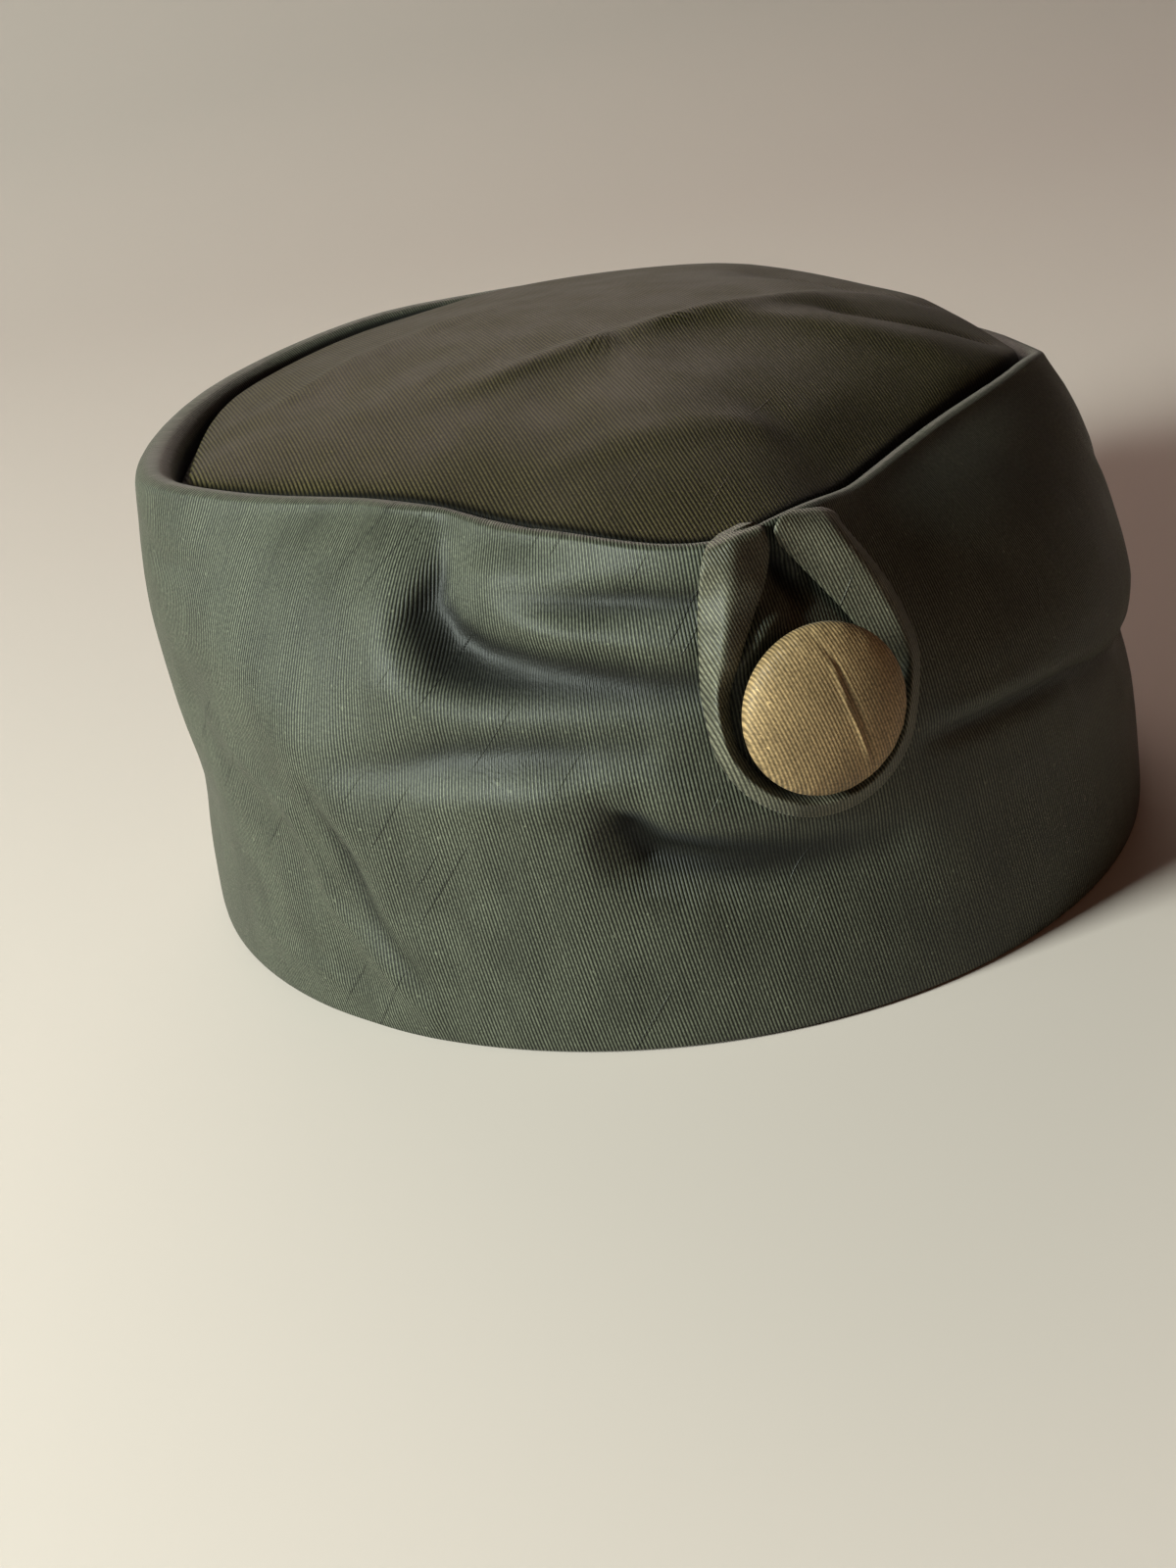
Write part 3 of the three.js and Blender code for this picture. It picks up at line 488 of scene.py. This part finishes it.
# %% [markdown]
# ## The button's place
# Both the loop and the button are laid from the button's middle and axis. These could be typed in
# again, but they are read off the button's solid, so that they move with it: the disc is thinnest
# along its axis, which points away from the wall.

# %% Button's place
def disc_of(name):
    """Middle of a disc's back, its axis, radius and height, from the CAD node's corners."""
    corners = np.array([v.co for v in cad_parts[name].data.vertices], float)
    centre = (corners.min(0) + corners.max(0)) / 2
    spans = np.linalg.svd(corners - corners.mean(0))[2]
    axis = spans[2] * -np.sign(spans[2][1])
    heights = (corners - centre) @ axis
    flat = corners - centre - np.outer(heights, axis)
    back = Vector(centre + axis * heights.min())
    return back, Vector(axis), np.linalg.norm(flat, axis=1).max(), np.ptp(heights)


BUTTON_BACK, BUTTON_AXIS, BUTTON_RADIUS, BUTTON_HEIGHT = disc_of("button")
print("button", [round(v, 4) for v in BUTTON_BACK], "radius", round(BUTTON_RADIUS, 4))

# %% [markdown]
# ## Loop
# A strip of the same satin, folded lengthwise and padded. It leaves the seam flat, narrows to ring
# the button, and widens again on its way back to the seam. A curve with a round section would be
# quicker but looks like a rope, so the strip is laid section by section between its two edges. At
# each station its underside follows the cloth below, and its face rises to a crest: near its
# middle on the left strand, and near the outer edge on the right one, where the strip is folded.

# %% Loop
RING_INSIDE, RING_OUTSIDE = 18.0, 23.0
STRAND_ROWS = {
    # outer edge aside and up, inner edge aside and up, thickness, all in millimetres;
    # the crest's place from the outer edge (0) to the inner (1); the edges' share of the thickness
    "left": [(-12.5, 36.2, -7.5, 37.4, 0.5, 0.45, 0.5), (-15.6, 34.2, -4.2, 36.2, 2.6, 0.45, 0.4),
             (-17.8, 31.0, -3.2, 31.0, 4.0, 0.45, 0.3), (-19.2, 26.5, -5.2, 25.2, 4.8, 0.46, 0.25),
             (-20.8, 19.8, -9.4, 18.4, 5.4, 0.50, 0.25), (-22.0, 12.5, -13.6, 11.4, 5.8, 0.52, 0.3),
             (-22.9, 4.5, -17.2, 4.0, 6.6, 0.5, 0.35)],
    "right": [(24.6, 3.0, 19.2, 2.6, 6.6, 0.5, 0.35), (24.4, 10.2, 14.8, 8.0, 6.6, 0.30, 0.2),
              (21.8, 18.8, 8.6, 17.4, 7.2, 0.24, 0.12), (17.6, 26.6, 2.2, 26.4, 7.2, 0.20, 0.12),
              (14.2, 32.0, -1.8, 32.6, 6.0, 0.16, 0.2), (12.8, 35.4, -0.2, 36.0, 3.4, 0.2, 0.4),
              (10.0, 37.0, 3.5, 37.4, 0.5, 0.3, 0.5)],
}
STATIONS_PER_ROW = 9
FACE_POINTS = 15
UNDER_POINTS = 7
CLEARANCE = 0.35
FLAT_SHARE, ROUND_SHARE = 0.70, 0.30
WALL_BEHIND, WALL_LEAN = 3.0, 0.27
RAY_START = 0.03
OUT_OF_WALL = Vector((-0.20, -0.88, 0.43)).normalized()


def loop_rows():
    """All the strip's rows from the left strand's top, round the ring, to the right strand's top."""
    ring = []
    for degrees in range(192, 352, 16):
        c, s = math.cos(math.radians(degrees)), math.sin(math.radians(degrees))
        ring.append((RING_OUTSIDE * c, RING_OUTSIDE * s, RING_INSIDE * c, RING_INSIDE * s, 7.0, 0.5, 0.4))
    return np.array(STRAND_ROWS["left"] + ring + STRAND_ROWS["right"])


def smooth_rows(rows, steps):
    """Catmull-Rom rows between the given ones."""
    padded = np.vstack([rows[0], rows, rows[-1]])
    made = []
    for a, b, c, d in zip(padded, padded[1:], padded[2:], padded[3:]):
        for t in np.arange(steps) / steps:
            made.append(0.5 * (2 * b + (c - a) * t + (2 * a - 5 * b + 4 * c - d) * t * t
                               + (3 * b - a - 3 * c + d) * t ** 3))
    return np.array(made + [rows[-1]])


def wall_under(trees, aside, up):
    """The outermost cloth below a place given in millimetres from the button's middle."""
    behind = WALL_BEHIND + up * WALL_LEAN
    start = Vector((BUTTON_BACK.x + aside * MM, BUTTON_BACK.y + behind * MM, BUTTON_BACK.z + up * MM))
    hits = [tree.ray_cast(start + OUT_OF_WALL * RAY_START, -OUT_OF_WALL)[0] for tree in trees]
    hits = [hit for hit in hits if hit is not None]
    return max(hits, key=lambda hit: hit.dot(OUT_OF_WALL))


def strip_section(trees, row):
    """One closed section: along the face from the outer to the inner edge, and back underneath."""
    outer_x, outer_z, inner_x, inner_z, thick, crest, edge = row
    shares = np.linspace(0.0, 1.0, FACE_POINTS)
    feet = [wall_under(trees, outer_x + (inner_x - outer_x) * t, outer_z + (inner_z - outer_z) * t)
            for t in shares]
    levels = np.array([foot.dot(OUT_OF_WALL) for foot in feet])
    line = np.polyfit(shares, levels, 1)
    bed = np.polyval(line, shares) + max(0.0, (levels - np.polyval(line, shares)).max())
    up_face = np.where(shares < crest, shares / crest, (1.0 - shares) / (1.0 - crest))
    round_face = np.sin(up_face * math.pi / 2)
    face = edge + (1.0 - edge) * (FLAT_SHARE * up_face + ROUND_SHARE * round_face)
    section = []
    for foot, level, height in zip(feet, bed, face):
        flat = foot + OUT_OF_WALL * (level - foot.dot(OUT_OF_WALL))
        section.append(flat + OUT_OF_WALL * (CLEARANCE + thick * height) * MM)
    step = (FACE_POINTS - 1) // (UNDER_POINTS - 1)
    for k in range(FACE_POINTS - 1, -1, -step):
        flat = feet[k] + OUT_OF_WALL * (bed[k] - levels[k])
        section.append(flat + OUT_OF_WALL * CLEARANCE * MM)
    return section


LOOP_RIB_SLANT = 0.32
loop = bmesh.new()
trees = [tree_of(piece.data.vertices, piece.data.polygons) for piece in (band_piece, tip_piece)]
sections = [strip_section(trees, row) for row in smooth_rows(loop_rows(), STATIONS_PER_ROW)]
rings = [[loop.verts.new(place) for place in section] for section in sections]
for ring, following in zip(rings, rings[1:]):
    for k in range(len(ring)):
        n = (k + 1) % len(ring)
        loop.faces.new((ring[k], ring[n], following[n], following[k]))
loop.faces.new(rings[0])
loop.faces.new(rings[-1][::-1])
bmesh.ops.recalc_face_normals(loop, faces=loop.faces)
bmesh.ops.smooth_vert(loop, verts=loop.verts, factor=0.5, **ALL_AXES)
lay_weave(loop, lambda place, middle: (place.x + LOOP_RIB_SLANT * place.z, place.z), FINE_RIB)
finish_piece(loop, "loop", loop_cloth, "ornament_loop")


# %% [markdown]
# ## Button
# A button form covered in golden satin. The half outline of the covered form is spun round its
# axis, because a covered form is round and a spin leaves no facets. A long and a short crease
# slant across the dome, where the cloth was pulled too tight, and small gathers run round its edge.

# %% Button
# Each point: aside and up from the dome's middle, width and depth, all in millimetres.
BUTTON_CREASES = {
    "long crease": [(-2.0, 17.0, 0.40, -0.15), (1.6, 10.2, 0.45, -0.45), (3.2, 2.7, 0.50, -0.55),
                    (6.4, -8.7, 0.45, -0.50), (8.0, -15.6, 0.40, -0.20)],
    "crease lip": [(0.5, 9.9, 0.5, 0.20), (2.1, 2.5, 0.55, 0.35), (5.3, -8.9, 0.5, 0.40),
                   (7.0, -15.2, 0.4, 0.20)],
    "short crease": [(0.2, 15.5, 0.35, -0.10), (3.2, 9.4, 0.40, -0.20), (5.0, 4.0, 0.35, -0.05)],
}
EDGE_SHARE, DOME_FROM, DOME_FADE = 0.30, 0.32, 0.0006
BACK_LEVEL = 0.0003
GATHERS, GATHER_DEPTH = 22.0, 0.00010
BUTTON_RIB_TURN = (0.95, 0.31)


def half_outline(radius, height):
    """The covered form's section, from the middle of its dome to the middle of its back."""
    edge = height * EDGE_SHARE
    dome = [(radius * math.sin(a), edge + (height - edge) * math.cos(a))
            for a in np.linspace(0.0, math.pi / 2, 40)]
    tucked = [(radius * 0.995, edge * 0.6), (radius * 0.96, edge * 0.2), (radius * 0.88, BACK_LEVEL)]
    return dome + tucked + [(radius * 0.5, BACK_LEVEL), (0.0, BACK_LEVEL)]


button = bmesh.new()
outline = half_outline(BUTTON_RADIUS, BUTTON_HEIGHT)
corners = [button.verts.new((x, 0.0, z)) for x, z in outline]
edges = [button.edges.new(pair) for pair in zip(corners, corners[1:])]
bmesh.ops.spin(button, geom=corners + edges, cent=(0, 0, 0), axis=(0, 0, 1), angle=2 * math.pi,
               steps=160, use_merge=True)
bmesh.ops.remove_doubles(button, verts=button.verts, dist=0.00001)
bmesh.ops.recalc_face_normals(button, faces=button.faces)
places = points_of(button)
on_dome = np.clip((places[:, 2] - BUTTON_HEIGHT * DOME_FROM) / DOME_FADE, 0.0, 1.0)
push = np.zeros(len(places))
for points in BUTTON_CREASES.values():
    push += fold_push(places[:, 0], places[:, 1], [
        (x * MM, y * MM, w * MM, d * MM) for x, y, w, d in points])
angle = np.arctan2(places[:, 1], places[:, 0])
gathers = GATHER_DEPTH * np.sin(angle * GATHERS + 1.5 * np.sin(angle * 3.0))
near_edge = np.clip(np.hypot(places[:, 0], places[:, 1]) / BUTTON_RADIUS * 4.0 - 3.0, 0.0, 1.0)
places[:, 2] += push * on_dome + gathers * near_edge * on_dome
put_points(button, places)
rib_x, rib_y = BUTTON_RIB_TURN
lay_weave(button, lambda place, middle: (place.x * rib_x + rib_y * place.y, place.y), FINE_RIB)
side_way = Vector((1, 0, 0)) - BUTTON_AXIS * BUTTON_AXIS.x
side_way.normalize()
stand = Matrix((side_way, BUTTON_AXIS.cross(side_way), BUTTON_AXIS)).transposed().to_4x4()
bmesh.ops.transform(button, matrix=Matrix.Translation(BUTTON_BACK) @ stand, verts=button.verts)
finish_piece(button, "button", button_cloth, "button")
shank = soft_copy("button_shank", "shank", 1)
lay_weave(shank, lambda place, middle: (place.x, place.z))
finish_piece(shank, "shank", band_cloth, "button_shank")


# %% [markdown]
# ## Table and light
# The hat stands on its hem on a plain pale table. A cool window light comes from the picture's
# left, with a faint warm fill that leaves the right side dark, and a third light faces the
# backdrop. A bright sky would light the folds from all sides and flatten them.

# %% Table
def plain(name, colour, roughness):
    material = bpy.data.materials.new(name)
    material.use_nodes = True
    shader = material.node_tree.nodes["Principled BSDF"]
    shader.inputs["Base Color"].default_value = (*colour, 1.0)
    shader.inputs["Roughness"].default_value = roughness
    return material


def make_table(size, back, rise_to):
    """A pale sheet that curves up behind the hat, so that no horizon shows."""
    bm = bmesh.new()
    bmesh.ops.create_grid(bm, x_segments=1, y_segments=24, size=size)
    for vert in bm.verts:
        past = max(0.0, vert.co.y - back)
        vert.co.z = min(rise_to, past * past * 1.2) - 0.0002
    mesh = bpy.data.meshes.new("table")
    bm.to_mesh(mesh)
    bm.free()
    for polygon in mesh.polygons:
        polygon.use_smooth = True
    mesh.materials.append(plain("table_paint", (0.55, 0.48, 0.44), 0.9))
    table = bpy.data.objects.new("table", mesh)
    bpy.context.scene.collection.objects.link(table)
    return table


table = make_table(size=4.0, back=0.8, rise_to=3.0)
print("table", len(table.data.polygons), "faces")


# %% Lights
def soft_light(name, place, aim, size, power, colour):
    data = bpy.data.lights.new(name, "AREA")
    data.shape = "RECTANGLE"
    data.size, data.size_y = size
    data.energy = power
    data.color = colour
    light = bpy.data.objects.new(name, data)
    light.location = place
    light.rotation_euler = (Vector(aim) - Vector(place)).to_track_quat("-Z", "Y").to_euler()
    bpy.context.scene.collection.objects.link(light)


soft_light("window", (-1.33, -0.43, 0.68), (0, 0, 0.06), (0.38, 0.44), 56.0, (0.90, 1.0, 0.92))
soft_light("warm_fill", (0.9, -0.7, 0.5), (0, 0, 0.06), (0.8, 0.8), 0.9, (1.0, 0.42, 0.20))
soft_light("backdrop", (0.2, 1.3, 1.3), (0.2, 3.4, 1.5), (1.5, 1.0), 66.0, (1.0, 0.92, 0.88))

world = bpy.data.worlds.new("room")
world.use_nodes = True
world.node_tree.nodes["Background"].inputs["Color"].default_value = (1.0, 0.74, 0.58, 1.0)
world.node_tree.nodes["Background"].inputs["Strength"].default_value = 0.030
bpy.context.scene.world = world
bpy.context.scene.view_settings.view_transform = "Standard"
